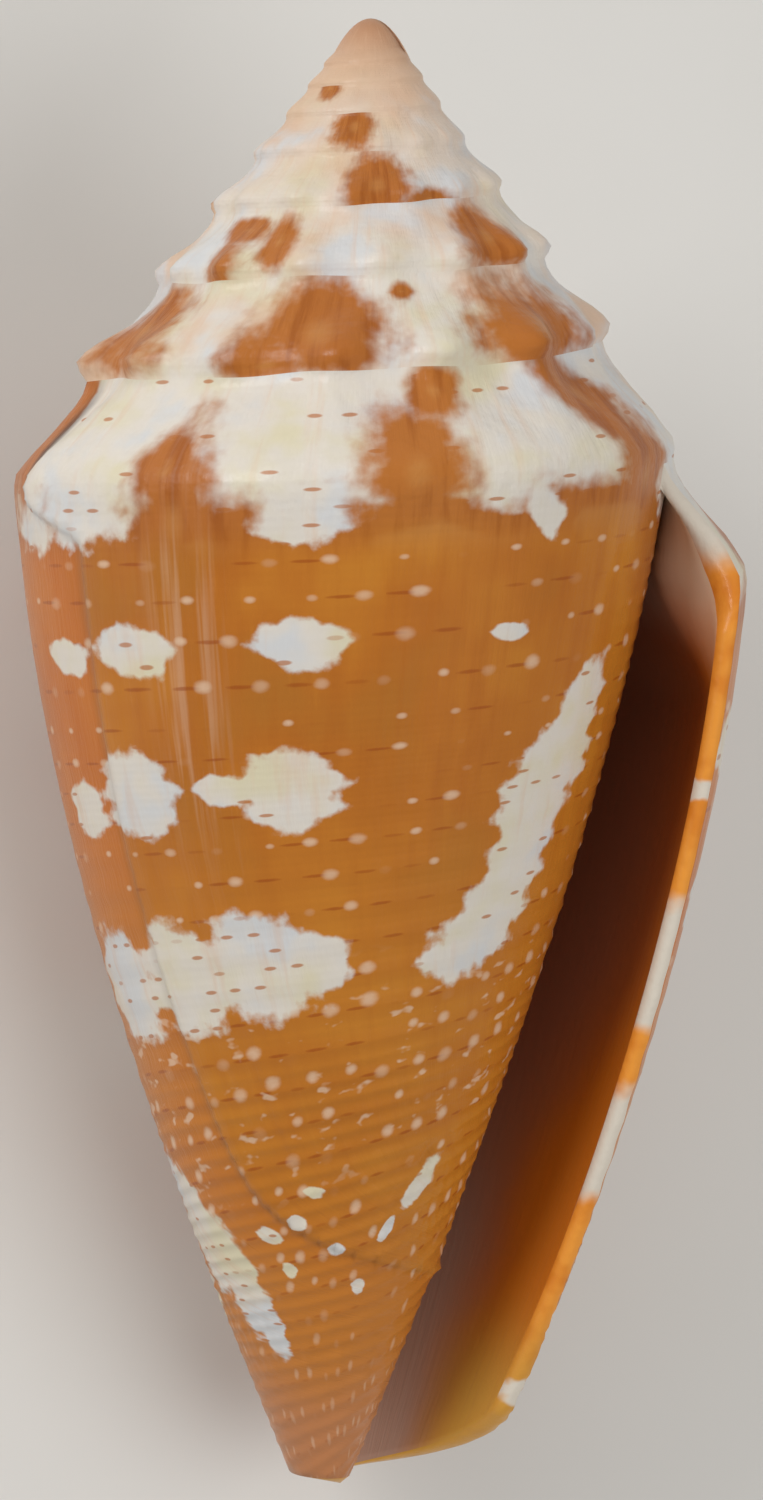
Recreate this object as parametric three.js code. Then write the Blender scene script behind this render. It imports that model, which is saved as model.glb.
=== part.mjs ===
// A cone shell, grown as one piece: a conical last turn under a stepped spire with knobs on its shoulders,
// and one long narrow mouth between the outer lip and the turn before it.
// Millimetres. The shell lies on its back with its mouth up: +Z up, +Y towards the spire, +X towards the lip.
// The origin is under the middle of the shell's box, on the surface that it lies on.
import * as THREE from "three";

// Driving dimensions. A place on the shell is given by its turn, its radius and its depth. The turn is 0 at
// the lip and falls by 1 for each turn back towards the tip, the radius is taken from the coiling axis, and
// the depth is measured along the axis from the tip of the spire.
const LENGTH = 55;
const LIP_RADIUS = 14.5; // at the shoulder of the lip
const LAST_TURN_RATE = 0.227; // the radius grows by e to this power over the last turn
const SPIRE_RATE = 0.292; // and by e to this power over each turn of the spire
const SPIRE_FLARE = 0.7; // radius gained per millimetre of depth, along the shoulders
const TIP_BLUNTING = 0.69; // how far the pointed cone of the shoulders would stand above the blunt tip
const LIP_DROP = 0.75; // how far the last quarter turn sinks below that cone
const LIP_AZIMUTH = THREE.MathUtils.degToRad(74); // the lip, from straight up, with the tip pointing away
const OUTER_POWER = 1.55; // of the curve from the shoulder to the lower end, on the last turn
const INNER_POWER = 1.37; // and on the turns inside
const SUTURE_DROP = 0.034; // depth from a shoulder to the seam under it, as a share of its radius
const KNOBS_PER_TURN = 14.5;
const KNOB_TURN = -0.26; // the turn that one of the knobs is at
const KNOB_HEIGHT = 0.03; // share of the shoulder's radius
const KNOB_SPAN = 0.1; // half the depth that a knob covers, as a share of the shoulder's radius
const MOUTH_RADIUS = 6.5; // of the lip's lower corner
const MOUTH_OPENING = 1.9; // the power by which the lower end widens from the pillar to that corner
const PILLAR_RADIUS = 0.35; // of the pillar's end, on the axis
const BASE_DEPTH = LENGTH - 0.3; // of the edge around the lower end
const CORNER_RISE = 2.6; // how far the lip's lower corner is rounded off
const CORNER_TURNS = 0.074;
const EDGE_WALL = 0.5; // thickness of the wall at the lip
const BACK_WALL = 1.9; // behind it, on the side that the shell lies on
const OLD_WALL = 0.6; // and further in, where the shell has thinned it again
const SEAM_WALL = 0.9; // thickness of the wall where it joins the turn before
const NOTCH_TURNS = 0.42; // how far back the lower end stays open
const LEAST_GAP = 0.08; // share of the mouth's width that is left where the lower end closes
const FLOOR_RISE = 16; // how far the bottom of the hollow has risen where it ends
const LIP_LAG = 0.045; // turns by which the lip's lower end stands back from its middle
const SINUS_LAG = 0.012; // and its sutural ramp, for the notch under the seam
const LIP_ROUNDING = 0.22;

// How the shell lies.
const LIE_PITCH = THREE.MathUtils.degToRad(11.3); // the spire end is up
const LIE_ROLL = THREE.MathUtils.degToRad(24); // about the coiling axis, from where the azimuths are taken
const REST_FACET = 0.35; // the facet that it lies on cuts this much off the round of its back

// The mesh.
const PER_TURN = 51;
const TURNS = 8;
const HOLLOW_TURNS = 1.7;
const RAMP_ROWS = 4;
const SEAM_ROWS = 2; // across the thickness of the wall at the seam, and of the lip
const BODY_ROWS = 11;

const { exp, sin, cos, PI } = Math;
const smooth = (from, to, x) => THREE.MathUtils.smoothstep(x, from, to);
const mix = THREE.MathUtils.lerp;

function shoulderRadius(turn) {
  const spire = Math.min(turn + 1, 0);
  return LIP_RADIUS * exp(LAST_TURN_RATE * (turn - spire) + SPIRE_RATE * spire);
}

function shoulderDepth(turn) {
  return shoulderRadius(turn) / SPIRE_FLARE - TIP_BLUNTING + LIP_DROP * smooth(-0.25, 0, turn);
}

function seamDepth(turn) {
  return shoulderDepth(turn) + SUTURE_DROP * shoulderRadius(turn);
}

// The depth at which the wall of the next turn ends on the inside.
function innerSeamDepth(turn) {
  return seamDepth(turn) + SEAM_WALL;
}

// The edge around the lower end widens from the pillar, over the last turn, to the lip's corner.
function baseRadius(turn) {
  return PILLAR_RADIUS + (MOUTH_RADIUS - PILLAR_RADIUS) * Math.max(1 + turn, 0) ** MOUTH_OPENING;
}

function baseDepth(turn) {
  return BASE_DEPTH - CORNER_RISE * exp(Math.min(turn, 0) / CORNER_TURNS);
}

// A knob swells the shoulder above and below its widest line.
function knob(turn, depth) {
  const radius = shoulderRadius(turn);
  const off = (depth - shoulderDepth(turn)) / (KNOB_SPAN * radius);
  const swell = (0.5 + 0.5 * cos(2 * PI * KNOBS_PER_TURN * (turn - KNOB_TURN))) ** 1.3;
  return KNOB_HEIGHT * radius * swell * exp(-off * off);
}

// Below the shoulder the radius falls along a power curve, straighter on the turns inside.
function bodyRadius(turn, depth) {
  const shoulder = shoulderDepth(turn);
  const share = Math.max(depth - shoulder, 0) / (baseDepth(turn) - shoulder);
  const power = mix(INNER_POWER, OUTER_POWER, smooth(-1, -0.5, turn));
  return mix(shoulderRadius(turn), baseRadius(turn), share ** power);
}

// Above it the ramp starts steep at the seam, flares, and turns over into the shoulder.
function rampRadius(turn, depth) {
  const start = seamDepth(turn - 1);
  const share = THREE.MathUtils.clamp((depth - start) / (shoulderDepth(turn) - start), 0, 1);
  return mix(bodyRadius(turn - 1, start), shoulderRadius(turn), 1 - (1 - share ** 1.6) ** 1.9);
}

function outerRadius(turn, depth) {
  const smoothRadius =
    depth < shoulderDepth(turn) ? rampRadius(turn, depth) : bodyRadius(turn, depth);
  return smoothRadius + knob(turn, depth);
}

function wall(turn) {
  const behind = mix(EDGE_WALL, BACK_WALL, smooth(0, 0.2, -turn));
  return mix(behind, OLD_WALL, smooth(0.38, 0.6, -turn));
}

// The inside follows the outside at the wall's thickness. Towards the lower end it closes on the turn before.
function innerRadius(turn, depth, share) {
  const start = innerSeamDepth(turn - 1);
  const shoulder = shoulderDepth(turn) + wall(turn) / 2;
  const inner = (deep) => bodyRadius(turn, deep) - wall(turn);
  const before = bodyRadius(turn - 1, depth);
  if (depth < shoulder) {
    const up = THREE.MathUtils.clamp((depth - start) / (shoulder - start), 0, 1);
    return mix(bodyRadius(turn - 1, start), inner(shoulder), 1 - (1 - up ** 1.3) ** 1.9);
  }
  const open = Math.max(smooth(-NOTCH_TURNS, -NOTCH_TURNS / 3, turn), LEAST_GAP);
  return mix(before, inner(depth), 1 - (1 - open) * share ** 4);
}

// How far the bottom of the hollow stands above the lower end, seen from the turn that its wall belongs to.
function floorRise(turn) {
  return FLOOR_RISE * smooth(NOTCH_TURNS, HOLLOW_TURNS, -turn);
}

// How far a growth line stands back, in turns, down the body and along the ramp.
const bodyLag = (share) => LIP_LAG * share ** 3;
const rampLag = (share) => SINUS_LAG * sin(PI * share);

const places = [];
const faces = [];

// Adds a corner of the mesh. Seen from the tip the shell grows clockwise.
function corner(turn, radius, depth) {
  const azimuth = LIP_AZIMUTH - 2 * PI * turn;
  places.push(radius * sin(azimuth), -depth, radius * cos(azimuth));
  return places.length / 3 - 1;
}

// Joins two rows of corners, of the same length, with triangles.
function join(first, second, flip = false) {
  for (let k = 0; k + 1 < first.length; k++) {
    const quad = [first[k], second[k], second[k + 1], first[k + 1]];
    if (flip) quad.reverse();
    faces.push(quad[0], quad[1], quad[2], quad[0], quad[2], quad[3]);
  }
}

// Joins two rows of different lengths that share their first and their last corner.
function zip(first, second, flip = false) {
  let [a, b] = [0, 0];
  const add = (...triangle) => faces.push(...(flip ? triangle.reverse() : triangle));
  while (a + 1 < first.length || b + 1 < second.length) {
    const firstIsBehind = (a + 1) * (second.length - 1) <= (b + 1) * (first.length - 1);
    const moveFirst = b + 1 === second.length || (a + 1 < first.length && firstIsBehind);
    const next = moveFirst ? first[a + 1] : second[b + 1];
    if (first[a] !== second[b] && next !== first[a] && next !== second[b]) {
      add(first[a], next, second[b]);
    }
    if (moveFirst) a += 1;
    else b += 1;
  }
}

// Closes a loop of corners with a fan around one more.
function fan(loop, centre, flip = false) {
  loop.forEach((here, k) => {
    const next = loop[(k + 1) % loop.length];
    if (here !== next) faces.push(centre, ...(flip ? [next, here] : [here, next]));
  });
}

const BODY_START = RAMP_ROWS + SEAM_ROWS;
const LAST_ROW = BODY_START + BODY_ROWS;
const FIRST_COLUMN = -Math.round(TURNS * PER_TURN);
const HOLLOW_COLUMNS = Math.round(HOLLOW_TURNS * PER_TURN);
const NOTCH_COLUMNS = Math.round(NOTCH_TURNS * PER_TURN);
const DOME_SHARES = new THREE.Vector3(0.62, 0.24, 0.62); // of the ring on the tip, against the seam below it
const steps = (count) => Array.from({ length: count + 1 }, (_, k) => k / count);

// One column of the outside, from the seam at its top to the lower end. Its first corner is the one that the
// column a turn before has at its own seam.
function outerColumn(i, columns) {
  const turn = i / PER_TURN;
  const before = columns.get(i - PER_TURN);
  const top = seamDepth(turn - 1);
  const ramp = steps(RAMP_ROWS).map((share, k) => {
    if (k === 0 && before) return before[RAMP_ROWS];
    const at = turn - rampLag(share);
    const depth = mix(seamDepth(at - 1), seamDepth(at), share);
    return corner(at, k ? outerRadius(at, depth) : bodyRadius(turn - 1, top), depth);
  });
  if (i < -PER_TURN - HOLLOW_COLUMNS) return ramp;
  const seam = steps(SEAM_ROWS)
    .slice(1)
    .map((share) => {
      const depth = mix(seamDepth(turn), innerSeamDepth(turn), share);
      return corner(turn, outerRadius(turn, depth), depth);
    });
  const low = turn < -1 ? BASE_DEPTH - floorRise(turn + 1) : baseDepth(turn);
  const body = steps(BODY_ROWS)
    .slice(1)
    .map((share) => {
      const at = turn - bodyLag(share);
      const depth = mix(innerSeamDepth(turn), low, share);
      return corner(at, outerRadius(at, depth), depth);
    });
  return [...ramp, ...seam, ...body];
}

// One column of the inside. It shares its first corner with the turn before, and its last one too where the
// hollow has a floor.
function innerColumn(i, before) {
  const turn = i / PER_TURN;
  const low = baseDepth(turn) - floorRise(turn);
  const closed = i < -NOTCH_COLUMNS;
  return steps(LAST_ROW).map((_, row) => {
    if (row === 0) return before[BODY_START];
    if (row === LAST_ROW && closed) return before[LAST_ROW];
    const start = innerSeamDepth(turn - 1);
    const middle = innerSeamDepth(turn);
    if (row <= BODY_START) {
      const share = row / BODY_START;
      const at = turn - rampLag(share);
      const depth = mix(start, middle, share);
      return corner(at, innerRadius(at, depth, 0), depth);
    }
    const share = (row - BODY_START) / BODY_ROWS;
    const at = turn - bodyLag(share);
    const depth = mix(middle, low, share);
    return corner(at, innerRadius(at, depth, share), depth);
  });
}

// Corners between two others, on a line that bulges by a given vector in its middle.
function between(first, second, bulge) {
  const point = (index) => new THREE.Vector3().fromArray(places, 3 * index);
  return steps(SEAM_ROWS)
    .slice(1, -1)
    .map((share) => {
      const at = point(first).lerp(point(second), share).addScaledVector(bulge, sin(PI * share));
      places.push(at.x, at.y, at.z);
      return places.length / 3 - 1;
    });
}

function shellGeometry() {
  const outer = new Map();
  for (let i = FIRST_COLUMN; i <= 0; i++) outer.set(i, outerColumn(i, outer));

  // The outside: the ramps of every turn, and the body of the last one.
  for (let i = FIRST_COLUMN; i < 0; i++) {
    const shown = (i < -PER_TURN ? RAMP_ROWS : LAST_ROW) + 1;
    join(outer.get(i).slice(0, shown), outer.get(i + 1).slice(0, shown));
  }

  // The tip: a low dome over the first turn's seam and the edge that the spiral starts with.
  const opening = [];
  for (let k = 0; k < PER_TURN; k++) opening.push(outer.get(FIRST_COLUMN + k)[0]);
  for (let row = RAMP_ROWS; row > 0; row--) opening.push(outer.get(FIRST_COLUMN)[row]);
  const dome = opening.map((index) => {
    const at = new THREE.Vector3().fromArray(places, 3 * index).multiply(DOME_SHARES);
    places.push(at.x, at.y, at.z);
    return places.length / 3 - 1;
  });
  join([...opening, opening[0]], [...dome, dome[0]]);
  fan(dome, corner(0, 0, 0), true);

  // The hollow: the turn before on one side, the inside of the last turn on the other, and its end.
  const inner = new Map();
  for (let i = -HOLLOW_COLUMNS; i <= 0; i++) inner.set(i, innerColumn(i, outer.get(i - PER_TURN)));
  for (let i = -HOLLOW_COLUMNS; i < 0; i++) {
    const before = (k) => outer.get(k - PER_TURN).slice(BODY_START);
    join(before(i), before(i + 1));
    join(inner.get(i), inner.get(i + 1), true);
  }
  zip(inner.get(-HOLLOW_COLUMNS), outer.get(-HOLLOW_COLUMNS - PER_TURN).slice(BODY_START), true);

  // The lip, rounded forwards.
  const along = new THREE.Vector3(-cos(LIP_AZIMUTH), 0, sin(LIP_AZIMUTH)).multiplyScalar(LIP_ROUNDING);
  const lip = outer.get(0).map((out, row) => {
    if (row === 0) return outer.get(-PER_TURN).slice(RAMP_ROWS, BODY_START + 1);
    const inside = inner.get(0)[row];
    return [out, ...between(out, inside, along), inside];
  });
  for (let row = 0; row < LAST_ROW; row++) join(lip[row], lip[row + 1], true);

  // The edge of the lower end, rounded downwards, as far back as it stays open.
  const down = new THREE.Vector3(0, -LIP_ROUNDING, 0);
  const rims = [lip[LAST_ROW]];
  for (let i = -1; i >= -NOTCH_COLUMNS; i--) {
    const [out, inside] = [outer.get(i)[LAST_ROW], inner.get(i)[LAST_ROW]];
    rims.push([out, ...between(out, inside, down), inside]);
  }
  for (let k = 0; k < NOTCH_COLUMNS; k++) join(rims[k], rims[k + 1], true);

  // The end of the pillar.
  const pillar = [];
  for (let i = -PER_TURN; i < -NOTCH_COLUMNS; i++) pillar.push(outer.get(i)[LAST_ROW]);
  pillar.push(...rims[NOTCH_COLUMNS]);
  for (let i = -PER_TURN - NOTCH_COLUMNS - 1; i < -PER_TURN; i++) pillar.push(outer.get(i)[LAST_ROW]);
  fan(pillar, corner(0, 0, LENGTH));

  const geometry = new THREE.BufferGeometry();
  geometry.setAttribute("position", new THREE.Float32BufferAttribute(places, 3));
  geometry.setIndex(faces);
  return geometry;
}

// Turns the shell as it lies, makes its lowest corners one flat facet and sets that on the surface, with the
// middle of the box over the origin.
function setDown(geometry) {
  geometry.rotateY(-LIE_ROLL).rotateX(LIE_PITCH);
  geometry.computeBoundingBox();
  const facet = geometry.boundingBox.min.z + REST_FACET;
  const position = geometry.getAttribute("position");
  for (let k = 0; k < position.count; k++) position.setZ(k, Math.max(position.getZ(k), facet));
  const middle = geometry.boundingBox.getCenter(new THREE.Vector3());
  geometry.translate(-middle.x, -middle.y, -facet);
  geometry.computeVertexNormals();
  return geometry;
}

const material = new THREE.MeshStandardMaterial({ color: 0xc8823c, roughness: 0.4, metalness: 0 });
const shell = new THREE.Mesh(setDown(shellGeometry()), material);
shell.name = "shell";

const part = new THREE.Group();
part.add(shell);

export default part;
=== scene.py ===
"""A cone shell that lies on its back with its mouth up, in a small studio.

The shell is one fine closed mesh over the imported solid. A place on it is given by its turn, its radius and its
depth, in millimetres: the turn is 0 at the lip and falls by 1 for each turn back towards the tip, the radius is
taken from the coiling axis, and the depth is measured along the axis from the tip. Its markings follow how it
grew: "grown" is the turn at which the lip stood at a place, and "row" counts the spiral rows of dots.
"""
import logging
import math
from dataclasses import dataclass
from enum import Enum, IntEnum

import bpy
import numpy as np
from mathutils import Matrix, Vector


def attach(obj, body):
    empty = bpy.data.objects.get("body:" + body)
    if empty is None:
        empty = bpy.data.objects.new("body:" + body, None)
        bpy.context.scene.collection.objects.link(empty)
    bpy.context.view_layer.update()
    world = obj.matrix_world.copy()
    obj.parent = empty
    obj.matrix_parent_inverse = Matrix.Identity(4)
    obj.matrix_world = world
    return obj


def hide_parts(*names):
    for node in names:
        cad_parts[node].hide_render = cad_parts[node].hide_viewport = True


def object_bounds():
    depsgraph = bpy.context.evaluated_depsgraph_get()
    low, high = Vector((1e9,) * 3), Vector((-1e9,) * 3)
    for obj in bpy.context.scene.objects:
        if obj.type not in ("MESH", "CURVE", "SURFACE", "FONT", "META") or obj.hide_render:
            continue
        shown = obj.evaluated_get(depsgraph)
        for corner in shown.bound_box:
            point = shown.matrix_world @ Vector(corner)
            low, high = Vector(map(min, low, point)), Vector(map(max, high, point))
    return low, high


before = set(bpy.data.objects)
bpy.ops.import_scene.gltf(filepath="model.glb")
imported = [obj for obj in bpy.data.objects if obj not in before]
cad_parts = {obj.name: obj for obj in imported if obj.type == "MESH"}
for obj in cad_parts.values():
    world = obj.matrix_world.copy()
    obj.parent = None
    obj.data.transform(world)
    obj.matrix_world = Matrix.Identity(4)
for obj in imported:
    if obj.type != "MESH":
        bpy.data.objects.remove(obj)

logging.basicConfig(level=logging.INFO, format="%(message)s")
log = logging.getLogger("cone_shell")

Array = np.ndarray
MM = 0.001


def smooth(start: float, end: float, value: Array) -> Array:
    """0 before start, 1 after end and 3x^2 - 2x^3 between them."""
    share = np.clip((value - start) / (end - start), 0.0, 1.0)
    return share * share * (3.0 - 2.0 * share)


def mix(first: Array, second: Array, share: Array) -> Array:
    """The value that stands a share of the way from first to second."""
    return first + (second - first) * share


def bell(value: Array, width: float) -> Array:
    """A bell curve, e to the minus square of value over width."""
    return np.exp(-((value / width) ** 2))


@dataclass(frozen=True)
class Coil:
    """The smooth coil, in millimetres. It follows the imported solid's own formulae."""

    length: float = 55.0
    lip_radius: float = 14.5
    last_turn_rate: float = 0.227
    spire_rate: float = 0.292
    spire_flare: float = 0.7
    tip_blunting: float = 0.69
    lip_drop: float = 0.75
    lip_azimuth: float = math.radians(74)
    suture_drop: float = 0.034
    knobs_per_turn: float = 14.5
    knob_turn: float = -0.26
    mouth_radius: float = 6.5
    mouth_opening: float = 1.9
    pillar_radius: float = 0.35
    base_rim_depth: float = 54.7
    corner_rise: float = 2.6
    corner_turns: float = 0.074
    outer_power: float = 1.55
    inner_power: float = 1.37
    edge_wall: float = 0.68
    back_wall: float = 1.9
    old_wall: float = 0.6
    seam_wall: float = 0.9
    notch_turns: float = 0.4125
    hollow_turns: float = 0.8
    least_gap: float = 0.08
    lip_lag: float = 0.045
    sinus_lag: float = 0.012
    growth_rate: float = 0.2474
    lag_from: float = 0.6
    bend_lag: float = 0.06
    end_lag: float = 0.335

    def shoulder_radius(self, turn: Array) -> Array:
        """The radius grows by e to last_turn_rate over the last turn, and to spire_rate over each before."""
        spire = np.minimum(turn + 1.0, 0.0)
        return self.lip_radius * np.exp(self.last_turn_rate * (turn - spire) + self.spire_rate * spire)

    def shoulder_depth(self, turn: Array) -> Array:
        """The shoulders lie on a blunted cone, and the last quarter turn sinks below it."""
        cone = self.shoulder_radius(turn) / self.spire_flare - self.tip_blunting
        return cone + self.lip_drop * smooth(-0.25, 0.0, turn)

    def seam_depth(self, turn: Array) -> Array:
        """The seam runs a share of the radius below the shoulder, and wavers by two sine waves."""
        waver = 0.005 * np.sin(33.0 * turn + 1.0) + 0.004 * np.sin(83.0 * turn)
        return self.shoulder_depth(turn) + (self.suture_drop + waver) * self.shoulder_radius(turn)

    def inner_seam_depth(self, turn: Array) -> Array:
        """The depth at which the next turn's wall ends on the inside."""
        return self.seam_depth(turn) + self.seam_wall

    def base_radius(self, turn: Array) -> Array:
        """The rim around the lower end widens from the pillar to the lip's corner by a power of the turn."""
        reach = np.maximum(1.0 + turn, 0.0) ** self.mouth_opening
        return self.pillar_radius + (self.mouth_radius - self.pillar_radius) * reach

    def base_depth(self, turn: Array) -> Array:
        """The rim's depth, rounded off exponentially towards the lip's corner."""
        return self.base_rim_depth - self.corner_rise * np.exp(np.minimum(turn, 0.0) / self.corner_turns)

    def body_radius(self, turn: Array, depth: Array) -> Array:
        """Below the shoulder the radius falls to the rim's by a power of the share of the way down.

        Args:
            turn: where each place is on the coil.
            depth: its depth, in millimetres.

        Returns:
            The radius, in millimetres.
        """
        shoulder = self.shoulder_depth(turn)
        share = np.maximum(depth - shoulder, 0.0) / (self.base_depth(turn) - shoulder)
        power = mix(self.inner_power, self.outer_power, smooth(-1.0, -0.5, turn))
        return mix(self.shoulder_radius(turn), self.base_radius(turn), share**power)

    def wall(self, turn: Array) -> Array:
        """Thin at the lip, thick behind it and thin again on the older part."""
        behind = mix(self.edge_wall, self.back_wall, smooth(0.0, 0.2, -turn))
        return mix(behind, self.old_wall, smooth(0.38, 0.6, -turn))

    def growth(self, turn: Array, depth: Array) -> tuple[Array, Array]:
        """When a place grew, and its level between the tip (0) and the lower end (1) of the shell at that time.

        The shell grows by e to growth_rate a turn, and the lip's lower end stands back from its middle.
        Both depend on each other, so the turn is found by halving an interval.

        Args:
            turn: where the place is.
            depth: its depth.

        Returns:
            The turn that the lip stood at then, and the level, without the last steep part of the lag and more
            level around the lower end.
        """
        low, high = np.full_like(depth, -12.0), np.full_like(depth, 3.0)
        for _ in range(32):
            grown = (low + high) / 2.0
            below = self.below(depth, grown)
            early = grown - turn - (self.bend_lag * below**2 + self.end_lag * below**16) < 0.0
            low, high = np.where(early, grown, low), np.where(early, high, grown)
        steady = grown - self.end_lag * self.below(depth, grown) ** 16
        steady = mix(steady, -0.8, 0.6 * smooth(43.0, 51.0, depth))
        return grown, self.level(depth, steady)

    def level(self, depth: Array, grown: Array) -> Array:
        """The depth as a share of the shell's length when the lip stood at the turn grown."""
        return depth / self.length * np.exp(-self.growth_rate * grown)

    def below(self, depth: Array, grown: Array) -> Array:
        """0 down to the level where the lip begins to lag, and 1 at the lower end."""
        return np.clip((self.level(depth, grown) - self.lag_from) / (1.0 - self.lag_from), 0.0, 1.15)

    def place(self, turn: Array, radius: Array, depth: Array) -> Array:
        """Points in coil coordinates: x and z across the axis, y up along it, the tip at the origin."""
        azimuth = self.lip_azimuth - 2.0 * math.pi * turn
        return np.stack([radius * np.sin(azimuth), -depth + 0.0 * azimuth, radius * np.cos(azimuth)], axis=-1)


@dataclass(frozen=True)
class Relief:
    """What stands proud of the smooth coil: knobs, spiral cords, growth lines, and the ledge of an old lip."""

    coil: Coil
    spire_knob: float = 0.09
    last_knob: float = 0.01
    knob_span: float = 0.13
    knob_lift: float = 0.07
    first_row_level: float = 0.4
    row_spacing: float = 0.0283
    row_lag: float = 0.6
    row_lag_at: float = 5.5
    row_lag_width: float = 2.2
    ledge: float = 0.24
    ledge_turn: float = -0.645
    ledge_fade: float = 0.035
    pit_turn: float = -0.889
    pit_at: float = 41.85
    pit_depth: float = 0.3

    def row(self, level: Array) -> Array:
        """The number of the row of dots at a level.

        The rows are even from the shoulder, less a bell that spreads the upper ones apart and crowds those
        under it.

        Args:
            level: its level, 0 at the tip and 1 at the lower end.

        Returns:
            The number, with its fraction.
        """
        even = (level - self.first_row_level) / self.row_spacing
        return even - self.row_lag * bell(even - self.row_lag_at, self.row_lag_width)

    def knobs(self, turn: Array, depth: Array) -> Array:
        """A raised cosine along the coil and a bell across it, uneven, and lower on the last turn.

        Args:
            turn: where each place is on the coil.
            depth: its depth, in millimetres.

        Returns:
            The height, in millimetres.
        """
        radius = self.coil.shoulder_radius(turn)
        share = mix(self.spire_knob, self.last_knob, smooth(-1.5, -0.9, turn))
        uneven = 1.0 + 0.22 * np.sin(23.1 * turn + 0.6) + 0.14 * np.sin(51.7 * turn)
        along = 2.0 * math.pi * self.coil.knobs_per_turn * (turn - self.coil.knob_turn)
        swell = (0.5 + 0.5 * np.cos(along)) ** 1.3
        lifted = self.coil.shoulder_depth(turn) - self.knob_lift * radius * smooth(-0.9, -1.2, turn)
        across = bell(depth - lifted, self.knob_span * radius)
        return share * uneven * radius * swell * across * smooth(-6.5, -2.6, turn)

    def cords(self, row: Array, grown: Array) -> Array:
        """A cosine of the row, faint on the middle, stronger lower down and twice as dense at the lower end.

        Args:
            row: the number of its row.
            grown: when it grew.

        Returns:
            The height, in millimetres.
        """
        strength = 0.006 + 0.017 * smooth(7.0, 11.0, row) + 0.008 * smooth(12.0, 16.0, row)
        wide = np.cos(2.0 * math.pi * row)
        dense = np.cos(4.0 * math.pi * row + 0.8)
        return strength * mix(wide, dense, smooth(14.5, 16.5, row)) * (1.0 + 0.25 * np.sin(60.0 * grown))

    def growth_lines(self, grown: Array, level: Array) -> Array:
        """A sum of sines of the turn at which a place grew, each bent a little by the level.

        Args:
            grown: when it grew.
            level: its level, 0 at the tip and 1 at the lower end.

        Returns:
            The height, in millimetres.
        """
        waves = ((61.0, 0.012, 1.1), (97.0, 0.009, 2.3), (163.0, 0.008, 0.4), (271.0, 0.006, 3.7))
        total = np.zeros_like(grown)
        for rate, height, phase in waves:
            bend = 3.0 * np.sin(5.0 * level + phase)
            total += height * np.sin(2.0 * math.pi * rate * 0.5 * grown + phase + bend)
        uneven = (0.55 + 0.45 * np.sin(17.0 * grown + 2.0)) * (1.0 + 0.8 * smooth(0.8, 1.0, level))
        return total * uneven * np.exp(0.3 * np.minimum(grown + 1.0, 0.0))

    def past_ledge(self, grown: Array, row: Array) -> Array:
        """How many turns after the old lip a place grew. Near the shoulder that lip stood further on."""
        return grown - self.ledge_turn - 0.055 * (1.0 - smooth(-0.9, 0.5, row))

    def old_lip(self, past: Array) -> Array:
        """A ledge: the older side stands proud at the old lip and dies away behind it exponentially.

        Args:
            past: turns since the old lip.

        Returns:
            The height, in millimetres.
        """
        older = np.exp(np.minimum(past, 0.0) / self.ledge_fade) * (1.0 - smooth(-0.0015, 0.0025, past))
        ridge = 0.25 * bell(past + 0.012, 0.007)
        return self.ledge * (older + ridge)

    def body(self, turn: Array, depth: Array) -> Array:
        """All the relief below a seam, fading out at the lower rim.

        Args:
            turn: where each place is on the coil.
            depth: its depth, in millimetres.

        Returns:
            The height, in millimetres.
        """
        grown, level = self.coil.growth(turn, depth)
        row = self.row(level)
        total = self.cords(row, grown) + self.growth_lines(grown, level)
        total += self.old_lip(self.past_ledge(grown, row)) * smooth(-1.3, -1.0, turn)
        total += 0.035 * bell(turn + 1.0, 0.06) * np.cos(4.0 * math.pi * row) * smooth(0.5, 1.5, row)
        total -= self.pit(turn, depth)
        rim = smooth(0.0, 0.8, self.coil.base_depth(turn) - depth)
        return total * rim + self.knobs(turn, depth)

    def pit(self, turn: Array, depth: Array) -> Array:
        """A small worn pit: a bell curve of the distance along the surface."""
        around = (turn - self.pit_turn) * 2.0 * math.pi * self.coil.body_radius(turn, depth)
        return self.pit_depth * bell(np.hypot(around, depth - self.pit_at), 0.3)

    def ramp(self, turn: Array, share: Array) -> Array:
        """Relief of the sutural ramp: fine threads, growth lines and the old lip, none at the seam above it.

        Args:
            turn: where each place is on the coil.
            share: the share of the way down the ramp.

        Returns:
            The height, in millimetres.
        """
        threads = 0.014 * np.cos(2.0 * math.pi * 6.0 * share) * smooth(-6.0, -1.0, turn)
        lines = self.growth_lines(turn + 0.02 * share, 0.3 * share) * 1.6
        lip = self.old_lip(turn - self.ledge_turn - 0.03 - 0.025 * share) * smooth(-1.3, -1.0, turn)
        return (threads + lines + lip) * smooth(0.0, 0.2, share)


class Zone(IntEnum):
    """The finish that a face takes, in the order of the mesh's materials."""

    OUTSIDE = 0
    EDGE = 1
    MOUTH = 2


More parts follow.
